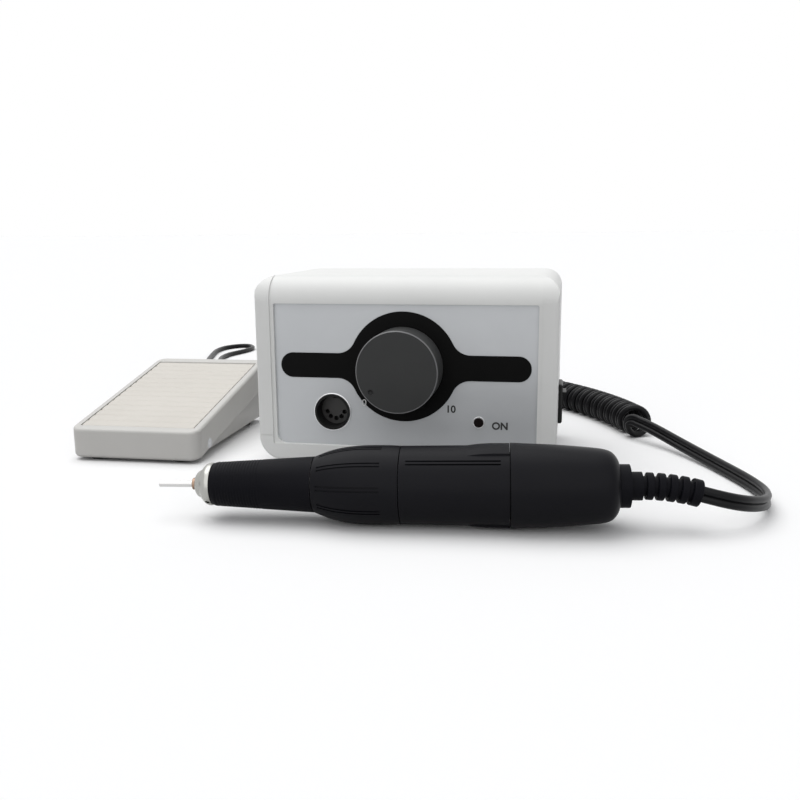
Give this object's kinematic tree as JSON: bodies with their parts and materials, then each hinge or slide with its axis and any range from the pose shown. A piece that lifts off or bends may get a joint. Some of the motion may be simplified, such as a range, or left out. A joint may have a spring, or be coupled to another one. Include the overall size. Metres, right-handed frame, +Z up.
{
  "type": "electric nail drill",
  "caption": "Desktop electric nail drill: control box with speed knob, pen-shaped motor handpiece on a curly cord, and a sloping foot pedal.",
  "frame": {"origin": "on the table under the middle of the set, its cords left out", "axes": "+X to the right along the control box's front, +Y away from the user, +Z up"},
  "size_m": [0.3696, 0.4545, 0.0815],
  "materials": {
    "case_white": "fine-grained off-white moulding",
    "panel_grey": "satin silver-grey panel",
    "film_black": "dark printed film",
    "knob_black": "satin black moulding",
    "steel": "bright turned steel",
    "zinc": "zinc-plated steel",
    "black_plastic": "black moulding",
    "insulator": "dark insulating moulding",
    "lamp_lens": "dark unlit lens",
    "board_green": "green laminate",
    "capacitor_sleeve": "shrink sleeve",
    "raw_aluminium": "extruded aluminium",
    "core_steel": "laminated core",
    "winding_tape": "yellow tape",
    "foot_rubber": "black rubber",
    "grip_rubber": "soft black grip",
    "body_black": "satin black moulding",
    "nose_metal": "polished metal",
    "collet_bronze": "bronze-coloured collet",
    "copper": "copper",
    "carbon": "carbon block",
    "ferrite": "ferrite",
    "pedal_white": "off-white moulding",
    "mat_cream": "pale ribbed rubber",
    "cord_black": "black cord sheath"
  },
  "bodies": {
    "root": {"case_cover": "case_white", "case_base": "case_white", "rubber_feet": "foot_rubber", "case_screws": "zinc", "front_panel": "panel_grey", "panel_overlay": "film_black", "rear_panel": "panel_grey", "speed_pot": "zinc", "pot_nut": "zinc", "socket_shell": "black_plastic", "socket_insert": "insulator", "power_led": "lamp_lens", "main_board": "board_green", "filter_capacitors": "capacitor_sleeve", "heatsink": "raw_aluminium", "transformer_core": "core_steel", "transformer_winding": "winding_tape", "transformer_bracket": "zinc", "mains_inlet": "black_plastic", "inlet_pins": "steel", "fuse_holder": "black_plastic", "mains_switch": "black_plastic", "direction_switch": "black_plastic", "pedal_socket": "black_plastic", "ball_bearings": "steel", "nose_cone": "nose_metal", "grip_sleeve": "grip_rubber", "front_tube": "steel", "motor_housing": "body_black", "motor_magnets": "ferrite", "carbon_brushes": "carbon", "brush_holders": "insulator", "rear_cap": "body_black", "cord_boot": "grip_rubber", "pedal_base": "pedal_white", "pedal_pins": "zinc", "pedal_spring": "steel", "pedal_switch": "black_plastic", "pedal_gland": "foot_rubber", "handpiece_cord": "cord_black", "curly_cord": "cord_black", "handpiece_lead": "cord_black", "handpiece_plug": "black_plastic", "pedal_cord": "cord_black", "pedal_cord_coil": "cord_black", "pedal_lead": "cord_black", "pedal_plug": "black_plastic"},
    "knob": {"speed_knob": "knob_black", "pot_shaft": "steel"},
    "direction": {"direction_rocker": "black_plastic"},
    "mains": {"mains_rocker": "black_plastic"},
    "ring": {"lock_ring": "body_black"},
    "rotor": {"spindle": "steel", "collet": "collet_bronze", "armature": "copper", "commutator": "copper"},
    "bur": {"bur_shank": "steel"},
    "treadle": {"pedal_treadle": "pedal_white", "pedal_mat": "mat_cream"},
    "plunger": {"switch_plunger": "black_plastic"}
  },
  "joints": [
    {"name": "knob_turn", "type": "hinge", "parent": "root", "child": "knob", "pos_m": [0.01995, -0.0047, 0.0443], "axis": [0, 1, 0], "range_deg": [0, 260]},
    {"name": "direction_tip", "type": "hinge", "parent": "root", "child": "direction", "pos_m": [0.07945, 0.0336, 0.0244], "axis": [0, 1, 0], "range_deg": [-20, 0]},
    {"name": "mains_tip", "type": "hinge", "parent": "root", "child": "mains", "pos_m": [0.02195, 0.0661, 0.055], "axis": [1, 0, 0], "range_deg": [-20, 0]},
    {"name": "ring_twist", "type": "hinge", "parent": "root", "child": "ring", "pos_m": [0.01131, -0.07147, 0.01343], "axis": [0.9964, 0.0826, 0.0187], "range_deg": [0, 35]},
    {"name": "rotor_spin", "type": "hinge", "parent": "root", "child": "rotor", "pos_m": [0.00135, -0.0723, 0.01324], "axis": [0.9964, 0.0826, 0.0187], "continuous": true},
    {"name": "bur_pull", "type": "slide", "parent": "rotor", "child": "bur", "axis": [-0.9964, -0.0826, -0.0187], "range_m": [0, 0.03]},
    {"name": "treadle_press", "type": "hinge", "parent": "root", "child": "treadle", "pos_m": [-0.10012, 0.0023, 0.0067], "axis": [-0.9998, -0.0197, 0], "range_deg": [0, 5], "stiffness_Nm_per_rad": 1.6, "springref_deg": -9.17, "deforming": ["pedal_spring"]},
    {"name": "plunger_press", "type": "slide", "parent": "root", "child": "plunger", "axis": [0, 0, 1], "range_m": [-0.00135, 0]}
  ],
  "couplings": [
    {"joint": "plunger_press", "follows": "treadle_press", "m_per_rad": -0.0152}
  ]
}
